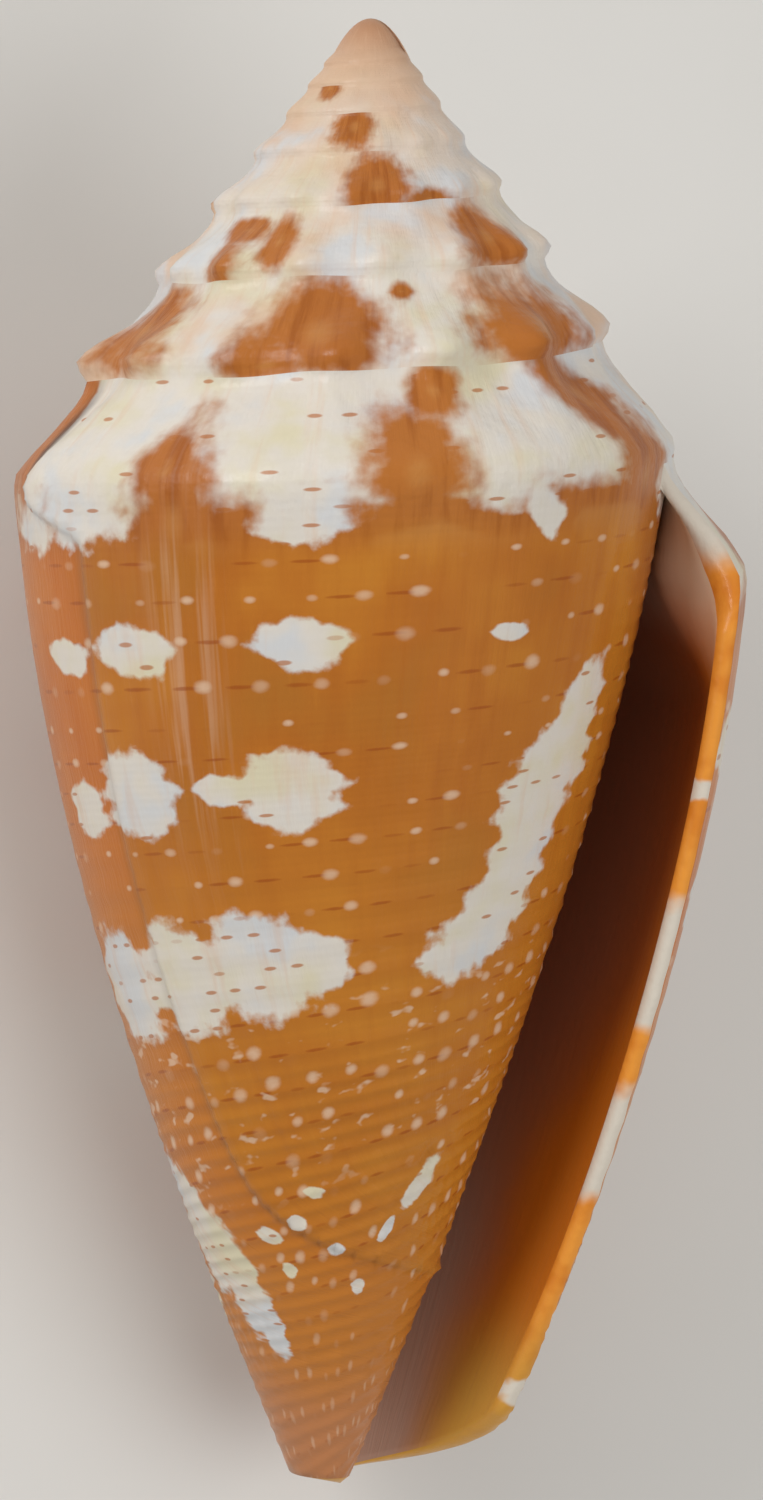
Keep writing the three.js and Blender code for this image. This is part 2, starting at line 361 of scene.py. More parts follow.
class Surface:
    """Collects grids of corners and faces, joins corners that are the same, and gives one closed mesh."""

    def __init__(self) -> None:
        """Starts with nothing."""
        self.points: list[Array] = []
        self.turns: list[Array] = []
        self.depths: list[Array] = []
        self.faces: list[Array] = []
        self.zones: list[Array] = []
        self.links: list[tuple[Array, Array]] = []
        self.count = 0

    def add(self, points: Array, turn: Array, depth: Array) -> Array:
        """Adds corners.

        Args:
            points: an array that ends in 3, in coil coordinates.
            turn: where they are, in the same shape without the 3.
            depth: their depth.

        Returns:
            Their numbers, in the shape of turn.
        """
        shape = points.shape[:-1]
        self.points.append(points.reshape(-1, 3))
        self.turns.append(np.broadcast_to(turn, shape).ravel())
        self.depths.append(np.broadcast_to(depth, shape).ravel())
        size = int(np.prod(shape))
        self.count += size
        return np.arange(self.count - size, self.count).reshape(shape)

    def at(self, corners: Array) -> tuple[Array, Array, Array]:
        """The points, turns and depths of corners."""
        points, turns, depths = (np.concatenate(part) for part in (self.points, self.turns, self.depths))
        return points[corners], turns[corners], depths[corners]

    def link(self, copies: Array, originals: Array) -> None:
        """Makes each copy the same corner as its original."""
        self.links.append((copies.ravel(), originals.ravel()))

    def add_faces(self, faces: Array, zone: Zone, flip: bool = False) -> None:
        """Adds faces of four corners, where a triangle repeats its last one."""
        self.faces.append(faces[:, ::-1] if flip else faces)
        self.zones.append(np.full(len(faces), int(zone)))

    def join(self, grid: Array, zone: Zone, flip: bool = False) -> None:
        """Joins a grid of corners with quads."""
        quads = np.stack([grid[:-1, :-1], grid[1:, :-1], grid[1:, 1:], grid[:-1, 1:]], axis=-1)
        self.add_faces(quads.reshape(-1, 4), zone, flip)

    def join_coarse(self, fine: Array, coarse: Array, zone: Zone, flip: bool = False) -> None:
        """Joins a fine line of corners to a coarse one, each step of which spans the same number of fine steps.

        Args:
            fine: the fine line.
            coarse: the coarse line.
            zone: the finish.
            flip: whether the faces are turned over.
        """
        span = (len(fine) - 1) // (len(coarse) - 1)
        half = span // 2
        step = np.arange(len(coarse) - 1)
        middle = np.stack([fine[step * span + half], coarse[step + 1], coarse[step], coarse[step]], axis=-1)
        parts = [middle]
        for k in range(span):
            near = coarse[step + (0 if k < half else 1)]
            parts.append(np.stack([fine[step * span + k], fine[step * span + k + 1], near, near], axis=-1))
        self.add_faces(np.concatenate(parts), zone, flip)

    def fan(self, line: Array, centre: int, zone: Zone, flip: bool = False) -> None:
        """Joins a line of corners to one more with triangles."""
        middle = np.full(len(line) - 1, centre)
        self.add_faces(np.stack([line[:-1], line[1:], middle, middle], axis=-1), zone, flip)

    def closed(self) -> tuple[Array, Array, Array, Array, Array]:
        """Applies the links, and drops the repeated corners, the faces that vanish and the corners left over.

        Returns:
            The points; each loop's point and its first corner; each face's number of loops, and its zone.
        """
        same = np.arange(self.count)
        for copies, originals in self.links:
            same[copies] = originals
        for _ in range(5):
            same = same[same]
        faces, zones = np.concatenate(self.faces), np.concatenate(self.zones)
        linked = same[faces]
        kept = linked != np.roll(linked, 1, axis=1)
        sides = kept.sum(axis=1)
        kept[sides < 3] = False
        used, loops = np.unique(linked[kept], return_inverse=True)
        points, real = np.concatenate(self.points), sides >= 3
        return points[used], loops.ravel(), faces[kept], sides[real], zones[real]


@dataclass(frozen=True)
class Patch:
    """A marking on the outside, in degrees of azimuth and millimetres of depth.

    The azimuth runs from 74 at the lip down to -286 over the last turn, and whorl counts turns back from it.

    Attributes:
        azimuth: of its middle.
        depth: of its middle.
        half_angle: how far it reaches on either side, in degrees.
        half_depth: how far it reaches up and down, in millimetres.
        slant: millimetres by which its middle sinks for each degree of azimuth.
        whorl: 1 for the last turn.
    """

    azimuth: float
    depth: float
    half_angle: float
    half_depth: float
    slant: float = 0.0
    whorl: int = 1

    def field(self, turn: Array, depth: Array, scallop: Array) -> Array:
        """1 in the middle, 0 on an outline that the scallops push in and out, and below 0 outside it.

        Args:
            turn: where each place is on the coil.
            depth: its depth, in millimetres.
            scallop: between -1 and 1 along the rows.

        Returns:
            The field.
        """
        away = (74.0 - self.azimuth) / 360.0 - self.whorl - turn
        angle = away * 360.0
        across = angle / (self.half_angle * (1.0 + 0.16 * scallop))
        down = (depth - self.depth - self.slant * angle) / self.half_depth
        return 1.0 - np.hypot(across, down)


WHITE_PATCHES = (
    Patch(-43, 23.1, 8.5, 1.0), Patch(-10, 22.5, 8.5, 1.0), Patch(-63, 23.6, 7, 0.7),
    Patch(-67, 29.3, 7.5, 1.1), Patch(-48, 28.4, 10, 1.6), Patch(-13, 27.9, 11, 1.5), Patch(-27, 28.0, 6, 0.6),
    Patch(-70, 36.0, 15, 2.1), Patch(-44, 35.3, 14, 2.1), Patch(-22, 34.6, 16, 2.0), Patch(-8, 34.2, 9, 1.1),
    Patch(53, 25.2, 8, 1.9, -0.1), Patch(47, 27.6, 14, 2.2, -0.08), Patch(44, 29.8, 12, 2.2, -0.15),
    Patch(39, 32.0, 13, 1.9, -0.12), Patch(34, 33.4, 15, 1.5, -0.06), Patch(30, 22.0, 4, 0.35),
    Patch(33, 42.9, 8, 0.7, -0.1), Patch(-34, 45.0, 6, 0.35, 0.02), Patch(-20, 44.4, 4, 0.3),
    Patch(-27, 46.3, 4, 0.3),
    Patch(-12, 43.2, 4, 0.25), Patch(8, 46.9, 4, 0.3), Patch(-4, 45.4, 4, 0.25), Patch(20, 44.6, 4, 0.35, -0.1),
    Patch(-78, 45.2, 18, 2.4, 0.06), Patch(-58, 46.8, 14, 2.1, 0.06), Patch(-46, 48.6, 9, 1.3, 0.05),
    Patch(-55, 17.0, 18, 2.4), Patch(-74, 17.3, 16, 2.4), Patch(-40, 15.0, 14, 1.6),
    Patch(-14, 15.4, 18, 2.2), Patch(-10, 17.4, 9, 1.6), Patch(1, 14.4, 6, 1.2), Patch(-27, 14.6, 13, 1.9),
    Patch(27, 14.6, 8, 1.6), Patch(26, 16.4, 8, 1.2), Patch(34, 17.3, 5, 1.0, 0.14),
    Patch(46, 15.0, 11, 0.8, 0.05),
    Patch(67, 14.1, 6, 1.9), Patch(81, 15.4, 12, 2.6),
)

RUST_PATCHES = (
    Patch(-9, 4.0, 13, 0.8, 0.0, 5), Patch(4.5, 6.1, 14, 1.1, 0.0, 4), Patch(27, 6.6, 12, 0.42, 0.0, 4),
    Patch(-40, 2.6, 12, 0.4, 0.0, 6), Patch(-29.5, 8.2, 6, 0.95, 0.0, 3), Patch(-47, 9.1, 7, 0.95, 0.0, 3),
    Patch(-46, 7.9, 12, 0.45, 0.0, 3), Patch(-10.5, 11.4, 16, 1.75, 0.0, 2), Patch(-22, 12.6, 10, 0.9, 0.0, 2),
    Patch(10.5, 9.85, 4, 0.3, 0.0, 2), Patch(46, 7.9, 12, 1.2, 0.0, 3), Patch(47, 11.1, 19, 1.8, 0.0, 2),
    Patch(-66, 11.7, 15, 1.55, 0.0, 2), Patch(150, 11.5, 15, 1.5, 0.0, 2), Patch(-118, 11.9, 15, 1.5, 0.0, 2),
    Patch(-172, 12.4, 16, 1.6, 0.0, 2), Patch(-225, 8.9, 13, 1.1, 0.0, 3), Patch(-150, 8.4, 12, 1.0, 0.0, 3),
    Patch(-110, 6.3, 12, 0.8, 0.0, 4), Patch(-200, 6.9, 13, 0.8, 0.0, 4), Patch(-262, 9.2, 9, 0.9, 0.0, 3),
    Patch(-33, 18.4, 8, 3.2), Patch(-35, 16.4, 6, 1.5), Patch(15, 13.4, 6, 1.1), Patch(10, 16.2, 9.5, 2.3),
    Patch(54, 13.6, 13, 1.4, 0.1), Patch(64, 16.4, 9, 2.8), Patch(48, 12.9, 7, 0.8, 0.05),
    Patch(-100, 17.2, 7, 2.2), Patch(-131, 16.6, 9, 2.6), Patch(-166, 17.4, 8, 2.0), Patch(-205, 17.0, 10, 2.8),
    Patch(-240, 17.6, 7, 2.2), Patch(-268, 17.9, 8, 2.6),
)

NEW_GROWTH = Patch(-92, 15.4, 27, 3.4)


@dataclass(frozen=True)
class Markings:
    """Where the outside is white (above 0) and where it is coloured (below 0)."""

    coil: Coil
    relief: Relief
    seed: int = 11

    def unseen_patches(self) -> list[Patch]:
        """White patches for the far side, in the same three bands and at the lower end, from a fixed seed.

        Returns:
            The patches.
        """
        dice = np.random.default_rng(self.seed)
        found = []
        for depth, height in ((24.5, 1.1), (30.5, 1.6), (38.0, 2.0), (47.5, 1.4)):
            azimuth = -100.0 - dice.uniform(0.0, 12.0)
            while azimuth > -280.0:
                half = dice.uniform(7.0, 13.0)
                rise = -0.01 * (azimuth + 90.0)
                found.append(Patch(azimuth, depth + rise, half, height * dice.uniform(0.7, 1.15), -0.01))
                azimuth -= half + dice.uniform(14.0, 26.0)
        return found

    def field(self, turn: Array, depth: Array, row: Array) -> Array:
        """Coloured below the shoulder and white above it, then patched white and then patched dark.

        Args:
            turn: where each corner is.
            depth: its depth.
            row: its row of dots.

        Returns:
            A field that changes sign at the outlines.
        """
        shoulder = self.coil.shoulder_depth(turn) + 0.4
        above = (shoulder - depth) / 1.3
        spire = smooth(-1.02, -1.06, turn) * (depth < self.coil.seam_depth(turn) + 0.3)
        total = np.clip(mix(above, 1.0, spire), -1.0, 1.0)
        scallop = np.cos(2.0 * math.pi * row)
        for patch in (*WHITE_PATCHES, *self.unseen_patches()):
            total = np.maximum(total, patch.field(turn, depth, scallop))
        past = self.relief.past_ledge(self.coil.growth(turn, depth)[0], row)
        fresh = smooth(0.0, 0.004, past) * (turn > -1.0)
        total = mix(total, np.minimum(total, -NEW_GROWTH.field(turn, depth, scallop)), fresh)
        for patch in RUST_PATCHES:
            total = np.minimum(total, -patch.field(turn, depth, 0.3 * scallop))
        return np.clip(total, -1.0, 1.0)


@dataclass
class ConeShell:
    """The shell: its outside, its lip, its mouth and its lower rim, in one mesh.

    Attributes:
        per_turn: columns of the mesh in a turn.
        turns: how many turns there are.
        ramp_rows: rows across each sutural ramp.
        seam_rows: rows across the thickness of the wall at the seam.
        body_rows: rows from there to the lower end.
        stride: columns of the outside for each one of the mouth, as far as the notch.
        far_columns: columns of the mouth beyond the notch.
        edge_rows: rows across the lip and the lower rim.
        dome_rows: rings on the tip.
        rounding: how far the lip bulges forwards, in millimetres.
    """

    coil: Coil
    relief: Relief
    markings: Markings
    name: str = "cone_shell"
    per_turn: int = 320
    turns: int = 8
    ramp_rows: int = 10
    seam_rows: int = 4
    body_rows: int = 126
    stride: int = 2
    far_columns: int = 14
    edge_rows: int = 4
    dome_rows: int = 8
    rounding: float = 0.22

    def shares(self, rows: int) -> Array:
        """Even shares from 0 to 1."""
        return np.linspace(0.0, 1.0, rows + 1)

    def body_corners(self, turn: Array, low: Array) -> tuple[Array, Array, Array]:
        """Corners from the seam to the lower end.

        The wall's thickness at the seam takes the first rows. Below it each row stands back by the lag of the
        lip, which grows with the cube of the way down.

        Args:
            turn: the columns' turns.
            low: their lowest depth.

        Returns:
            Turn, depth and radius, each columns by rows.
        """
        column = turn[:, None]
        seam = self.coil.inner_seam_depth(column)
        first = mix(self.coil.seam_depth(column), seam, self.shares(self.seam_rows))
        share = self.shares(self.body_rows)[1:]
        rest = mix(seam, low[:, None], share)
        depth = np.concatenate([first, rest], axis=1)
        lag = np.concatenate([np.zeros(self.seam_rows + 1), self.coil.lip_lag * share**3])
        at = column - lag
        return at, depth, self.coil.body_radius(at, depth) + self.relief.body(at, depth)

    def ramp_corners(self, turn: Array) -> tuple[Array, Array, Array]:
        """Corners of the sutural ramp, from the seam of the turn before to this turn's own seam.

        The radius starts at the surface of the turn before and flares to the shoulder as 1-(1-s^1.6)^1.9 of the
        share s of the way to it.

        Args:
            turn: the columns' turns.

        Returns:
            Turn, depth and radius, each columns by rows.
        """
        share = self.shares(self.ramp_rows)
        at = turn[:, None] - self.coil.sinus_lag * np.sin(math.pi * share)
        depth = mix(self.coil.seam_depth(at - 1.0), self.coil.seam_depth(at), share)
        start, shoulder = self.coil.seam_depth(at - 1.0), self.coil.shoulder_depth(at)
        way = np.clip((depth - start) / (shoulder - start), 0.0, 1.0)
        before = self.coil.body_radius(at - 1.0, start) + self.relief.body(at - 1.0, start)
        flare = 1.0 - (1.0 - way**1.6) ** 1.9
        own = self.coil.shoulder_radius(at) + self.relief.knobs(at, depth) * smooth(0.0, 0.35, way)
        upper = mix(before, own, flare) + self.relief.ramp(at, way) * (1.0 - smooth(0.75, 1.0, way))
        lower = self.coil.body_radius(at, depth) + self.relief.body(at, depth)
        blend = smooth(0.8, 1.0, way) * (depth <= shoulder) + (depth > shoulder)
        blend[:, 0] = 0.0
        blend[:, -1] = 1.0
        return at, depth, mix(upper, lower, blend)

    def mouth_corners(self, turn: Array, rise: Array) -> tuple[Array, Array, Array]:
        """Corners of the inside of the last turn.

        It starts at the turn before, turns over as 1-(1-s^1.3)^1.9, runs along the outside at the wall's
        thickness, and closes on the turn before by the fourth power of the way down, beyond the notch. A pad of
        callus fills the corner under the seam.

        Args:
            turn: the columns' turns.
            rise: how far each one ends above the lower rim.

        Returns:
            Turn, depth and radius, each columns by rows.
        """
        column = turn[:, None]
        top = self.shares(self.seam_rows)
        start, middle = self.coil.inner_seam_depth(column - 1.0), self.coil.inner_seam_depth(column)
        over = self.shares(self.ramp_rows + self.seam_rows)
        share = self.shares(self.body_rows)[1:]
        low = self.coil.base_depth(column) - rise[:, None]
        depth = np.concatenate([mix(start, middle, over), mix(middle, low, share)], axis=1)
        lag = np.concatenate([self.coil.sinus_lag * np.sin(math.pi * over), self.coil.lip_lag * share**3])
        at = column - lag
        down = np.concatenate([0.0 * over, share])
        thickness = self.coil.wall(at)
        shoulder = self.coil.shoulder_depth(at) + thickness / 2.0
        inner = self.coil.body_radius(at, depth) - thickness
        inner_shoulder = self.coil.body_radius(at, shoulder) - thickness
        begin = self.coil.inner_seam_depth(at - 1.0)
        up = np.clip((depth - begin) / (shoulder - begin), 0.0, 1.0)
        root = self.coil.body_radius(at - 1.0, begin) + self.relief.body(at - 1.0, begin)
        upper = mix(root, inner_shoulder, 1.0 - (1.0 - up**1.3) ** 1.9)
        before = self.coil.body_radius(at - 1.0, depth) + self.relief.body(at - 1.0, depth)
        notch = self.coil.notch_turns
        opening = np.maximum(smooth(-notch, -notch / 3.0, at), self.coil.least_gap)
        lower = mix(before, inner, 1.0 - (1.0 - opening) * down**4)
        callus = 0.94 * smooth(-0.004, 0.05, -at) * (1.0 - smooth(19.5, 25.5, depth)) * smooth(0.0, 0.004, -at)
        return at, depth, mix(np.where(depth < shoulder, upper, lower), before, callus)

    def surface(self) -> Surface:
        """Builds every sheet of the shell and joins them into one closed surface.

        Returns:
            The surface, with its links still to apply.
        """
        made = Surface()
        step = 1.0 / self.per_turn

        ramp_turns = np.arange(-self.turns * self.per_turn, 1) * step
        ramps = self.sheet(made, self.ramp_corners(ramp_turns))
        made.link(ramps[self.per_turn:, 0], ramps[:-self.per_turn, -1])
        made.join(ramps, Zone.OUTSIDE)
        body_turns = ramp_turns[-self.per_turn - 1:]
        body = self.sheet(made, self.body_corners(body_turns, self.coil.base_depth(body_turns)))
        made.link(body[:, 0], ramps[-self.per_turn - 1:, -1])
        made.join(body, Zone.OUTSIDE)
        self.close_tip(made, ramps)

        near = np.arange(0, -self.notch_columns - 1, -self.stride) * step
        far = np.linspace(near[-1], -self.coil.hollow_turns, self.far_columns + 1)[1:]
        turns = np.concatenate([near, far])
        rise = 16.0 * smooth(self.coil.notch_turns, 2.0 * self.coil.hollow_turns, -turns)
        wall = self.sheet(made, self.body_corners(turns - 1.0, self.coil.base_rim_depth - rise))
        wall = wall[:, self.seam_rows:]
        made.link(wall[0], body[0, self.seam_rows:])
        made.join(wall, Zone.OUTSIDE, True)
        inside = self.sheet(made, self.mouth_corners(turns, rise))
        made.link(inside[:, 0], wall[:, 0])
        made.link(inside[len(near):, -1], wall[len(near):, -1])
        made.join(inside, Zone.MOUTH)
        self.close_far_end(made, inside[-1], wall[-1])

        lip = self.close_lip(made, ramps, body, inside)
        end = self.close_rim(made, body, lip, inside[: len(near), -1])
        older = body[: self.per_turn - self.notch_columns, -1]
        loop = np.concatenate([older, end, wall[len(near)::-1, -1]])
        self.close_pillar(made, loop)
        return made

    @property
    def notch_columns(self) -> int:
        """How many columns of the outside have an open lower end."""
        return int(round(self.coil.notch_turns * self.per_turn))

    def sheet(self, made: Surface, corners: tuple[Array, Array, Array]) -> Array:
        """Adds a sheet, given by its corners' turn, depth and radius, and returns their numbers."""
        turn, depth, radius = corners
        return made.add(self.coil.place(turn, radius, depth), turn, depth)

    def close_tip(self, made: Surface, ramps: Array) -> None:
        """Closes the tip with rings whose width falls to 0 and whose depth falls with the square of the width.

        Args:
            made: the surface.
            ramps: the ramps' corners.
        """
        loop = np.concatenate([ramps[: self.per_turn, 0], ramps[0, :0:-1], ramps[:1, 0]])
        points, turn, _ = made.at(loop[:-1])
        width = np.linspace(1.0, 0.0, self.dome_rows + 1)[1:-1]
        rings = points * np.stack([width, width**2, width], axis=-1)[:, None, :]
        dome = made.add(rings, np.broadcast_to(turn, rings.shape[:-1]), -rings[..., 1])
        made.join(np.concatenate([loop[None, :], np.concatenate([dome, dome[:, :1]], axis=1)]), Zone.OUTSIDE)
        apex = made.add(np.zeros((1, 3)), np.array([-float(self.turns)]), np.zeros(1))
        made.fan(np.append(dome[-1], dome[-1, 0]), int(apex[0]), Zone.OUTSIDE, True)

    def close_far_end(self, made: Surface, inside: Array, wall: Array) -> None:
        """Closes the hollow where it ends, between the inside's last column and the older wall's.

        Args:
            made: the surface.
            inside: the inside's last column.
            wall: the older wall's last column.
        """
        extra = len(inside) - len(wall)
        made.fan(inside[: extra + 1], int(wall[0]), Zone.MOUTH, True)
        made.join(np.stack([inside[extra:], wall]), Zone.MOUTH)

    def between(self, made: Surface, first: Array, second: Array, bulge: Array) -> Array:
        """Adds rows of corners between two lines of corners, bulged by a vector times half a sine wave.

        Args:
            made: the surface.
            first: numbers of the first line's corners.
            second: numbers of the second line's.
            bulge: the vector, in millimetres.

        Returns:
            The grid of numbers, with the two lines as its first and last rows.
        """
        share = self.shares(self.edge_rows)[1:-1, None]
        ends = zip(made.at(first), made.at(second))
        points, turn, depth = (mix(a, b, share.reshape(-1, *[1] * a.ndim)) for a, b in ends)
        points = points + np.sin(math.pi * share)[..., None] * bulge
        return np.concatenate([first[None], made.add(points, turn, depth), second[None]])

    def close_lip(self, made: Surface, ramps: Array, body: Array, inside: Array) -> Array:
        """Joins the outside to the inside at the lip with a face that is rounded forwards.

        Args:
            made: the surface.
            ramps: the ramps' corners.
            body: the last turn's.
            inside: the mouth's.

        Returns:
            The face's grid of corners, across the wall by down the lip.
        """
        azimuth = self.coil.lip_azimuth
        forwards = np.array([-math.cos(azimuth), 0.0, math.sin(azimuth)]) * self.rounding
        outer = np.concatenate([ramps[-1], body[-1, 1:]])
        lip = self.between(made, outer, inside[0], forwards)
        made.link(lip[1:-1, 0], body[0, 1: self.seam_rows])
        made.join(lip, Zone.EDGE)
        return lip

    def close_rim(self, made: Surface, body: Array, lip: Array, inside: Array) -> Array:
        """Joins the outside to the inside along the open part of the lower rim, rounded downwards.

        Args:
            made: the surface.
            body: the last turn's corners.
            lip: the lip's.
            inside: the mouth's last row, as far as the notch.

        Returns:
            The corners across the wall where the open part ends.
        """
        outer = body[::-1][: self.notch_columns + 1, -1]
        turns = np.arange(0, -self.notch_columns - 1, -1) / self.per_turn
        turn, depth, radius = self.mouth_corners(turns, np.zeros_like(turns))
        fine = made.add(self.coil.place(turn, radius, depth)[:, -1], turn[:, -1], depth[:, -1])
        rim = self.between(made, outer, fine, np.array([0.0, -self.rounding, 0.0]))[:-1]
        made.link(rim[1:, 0], lip[1:-1, -1])
        made.join(rim, Zone.EDGE)
        made.join_coarse(rim[-1], inside, Zone.EDGE, True)
        return np.append(rim[:, -1], inside[-1])

    def close_pillar(self, made: Surface, loop: Array) -> None:
        """Closes the end of the pillar with two rings and a fan.

        Args:
            made: the surface.
            loop: the corners around the pillar's end.
        """
        points, turn, depth = made.at(loop)
        width = np.array([0.66, 0.33])[:, None]
        centre = np.array([0.0, -self.coil.length, 0.0])
        rings = mix(centre, points, width[..., None])
        rings = made.add(rings, np.broadcast_to(turn, rings.shape[:-1]), -rings[..., 1])
        grid = np.concatenate([loop[None], rings])
        grid = np.concatenate([grid, grid[:, :1]], axis=1)
        made.join(grid, Zone.EDGE, True)
        tip = made.add(centre[None], turn[:1], np.array([self.coil.length]))
        made.fan(grid[-1], int(tip[0]), Zone.EDGE)

    def build(self, finishes: list[bpy.types.Material]) -> bpy.types.Object:
        """Makes the mesh object in its place in the frame.

        Args:
            finishes: the materials, in the order of the zones.

        Returns:
            The object, at the origin, with its place in its mesh.
        """
        made = self.surface()
        points, loops, corners, sides, zones = made.closed()
        pose = Pose(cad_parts["shell"])
        mesh = bpy.data.meshes.new(self.name)
        mesh.vertices.add(len(points))
        mesh.vertices.foreach_set("co", pose.to_frame(points).astype(np.float32).ravel())
        mesh.loops.add(len(loops))
        mesh.loops.foreach_set("vertex_index", loops.astype(np.int32))
        mesh.polygons.add(len(sides))
        starts = np.concatenate([[0], np.cumsum(sides)[:-1]])
        mesh.polygons.foreach_set("loop_start", starts.astype(np.int32))
        mesh.polygons.foreach_set("material_index", zones.astype(np.int32))
        mesh.update(calc_edges=True)
        mesh.polygons.foreach_set("use_smooth", np.ones(len(sides), dtype=bool))
        self.record_growth(mesh, made, corners)
        for finish in finishes:
            mesh.materials.append(finish)
        shell = bpy.data.objects.new(self.name, mesh)
        bpy.context.scene.collection.objects.link(shell)
        log.info("%s: %d points, %d triangles", self.name, len(points), int((sides - 2).sum()))
        return shell

    def record_growth(self, mesh: bpy.types.Mesh, made: Surface, corners: Array) -> None:
        """Writes to each face corner when it grew, its row, marking, turns past the old lip, turn and depth.

        Args:
            mesh: the mesh.
            made: the surface.
            corners: the corner that each loop comes from.
        """
        _, turn, depth = made.at(np.arange(made.count))
        grown, level = self.coil.growth(turn, depth)
        row = self.relief.row(level)
        values = {
            "grown": grown,
            "row": row,
            "marking": self.markings.field(turn, depth, row),
            "ledge": self.relief.past_ledge(grown, row),
            "turn": turn,
            "depth": depth,
        }
        for name, value in values.items():
            attribute = mesh.attributes.new(name, "FLOAT", "CORNER")
            attribute.data.foreach_set("value", value[corners].astype(np.float32))


class Pose:
    """How the coil lies in the frame: pitched tip up, rolled mouth up, its tip on the solid's."""

    pitch = math.radians(11.3)
    roll = math.radians(24.0)

    def __init__(self, solid: bpy.types.Object) -> None:
        """Finds the solid's tip, its farthest corner along the axis.

        Args:
            solid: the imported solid.
        """
        self.turn = Matrix.Rotation(self.pitch, 3, "X") @ Matrix.Rotation(-self.roll, 3, "Y")
        corners = np.empty(3 * len(solid.data.vertices), np.float32)
        solid.data.vertices.foreach_get("co", corners)
        corners = corners.reshape(-1, 3)
        axis = np.array(self.turn @ Vector((0.0, 1.0, 0.0)))
        self.tip = corners[np.argmax(corners @ axis)].astype(float)

    def to_frame(self, points: Array) -> Array:
        """Coil coordinates in millimetres to the frame's metres."""
        return points @ np.array(self.turn).T * MM + self.tip

    def direction(self, vector: tuple[float, float, float]) -> Vector:
        """A direction in coil coordinates to one in the frame."""
        return self.turn @ Vector(vector)


Colour = tuple[float, float, float, float]


def colour(code: str) -> Colour:
    """The linear colour, opaque, of six hexadecimal digits.

    Args:
        code: the digits.

    Returns:
        Red, green, blue and opacity.
    """
    parts = np.array([int(code[k: k + 2], 16) for k in (0, 2, 4)]) / 255.0
    linear = np.where(parts <= 0.04045, parts / 12.92, ((parts + 0.055) / 1.055) ** 2.4)
    return (*(float(part) for part in linear), 1.0)


class Value:
    """A number that a material works out at each place, with arithmetic that adds the nodes for it."""

    def __init__(self, tree: "Tree", socket: bpy.types.NodeSocket) -> None:
        """Wraps an output socket of a tree."""
        self.tree = tree
        self.socket = socket

    def __add__(self, other: "Value | float") -> "Value":
        """This plus other."""
        return self.tree.math("ADD", self, other)

    def __radd__(self, other: float) -> "Value":
        """Other plus this."""
        return self.tree.math("ADD", other, self)

    def __sub__(self, other: "Value | float") -> "Value":
        """This minus other."""
        return self.tree.math("SUBTRACT", self, other)

    def __rsub__(self, other: float) -> "Value":
        """Other minus this."""
        return self.tree.math("SUBTRACT", other, self)

    def __mul__(self, other: "Value | float") -> "Value":
        """This times other."""
        return self.tree.math("MULTIPLY", self, other)

    def __rmul__(self, other: float) -> "Value":
        """Other times this."""
        return self.tree.math("MULTIPLY", other, self)

    def __truediv__(self, other: "Value | float") -> "Value":
        """This over other."""
        return self.tree.math("DIVIDE", self, other)

    def __pow__(self, power: float) -> "Value":
        """This to a power."""
        return self.tree.math("POWER", self, power)

    def __abs__(self) -> "Value":
        """Its size without its sign."""
        return self.tree.math("ABSOLUTE", self)

    def nearest(self) -> "Value":
        """The nearest whole number."""
        return self.tree.math("ROUND", self)

    def floor(self) -> "Value":
        """The whole number below it."""
        return self.tree.math("FLOOR", self)

    def cosine(self) -> "Value":
        """Its cosine."""
        return self.tree.math("COSINE", self)

    def most(self, other: "Value | float") -> "Value":
        """The greater of this and other."""
        return self.tree.math("MAXIMUM", self, other)

    def rise(self, start: float, end: float) -> "Value":
        """0 before start, 1 after end and a smooth step between them.

        Args:
            start: where it starts.
            end: where it ends.

        Returns:
            The step.
        """
        sockets = {"Value": self, "From Min": start, "From Max": end}
        made = self.tree.node("ShaderNodeMapRange", {"interpolation_type": "SMOOTHSTEP"}, sockets)
        return Value(self.tree, made.outputs["Result"])

    def fall(self, start: float, end: float) -> "Value":
        """1 before start, 0 after end and a smooth step between them."""
        return 1.0 - self.rise(start, end)


